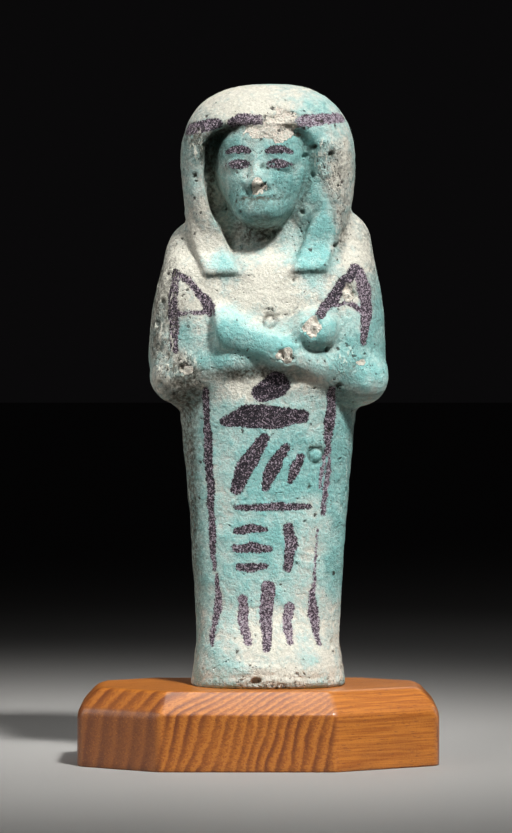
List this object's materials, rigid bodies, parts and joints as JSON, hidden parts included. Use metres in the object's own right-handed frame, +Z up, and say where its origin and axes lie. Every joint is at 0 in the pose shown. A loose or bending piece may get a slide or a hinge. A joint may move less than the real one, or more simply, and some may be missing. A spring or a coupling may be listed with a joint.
{
  "type": "ushabti figurine",
  "caption": "Mummiform funerary figurine of turquoise faience with crossed arms and a tripartite wig, standing on a low bevelled wooden block.",
  "frame": {"origin": "centre of the wooden stand's underside, on the surface that the object stands on", "axes": "+Z up, the figurine's front faces -Y, and +X is to the right of someone who faces the figurine"},
  "size_m": [0.06, 0.033, 0.113],
  "materials": {
    "faience": "worn turquoise glaze, weathered to cream in patches, painted in purple-black",
    "oiled_wood": "warm brown hardwood, oiled and rubbed to a soft shine"
  },
  "bodies": {
    "root": {"ushabti": "faience", "wooden_stand": "oiled_wood"}
  },
  "joints": []
}
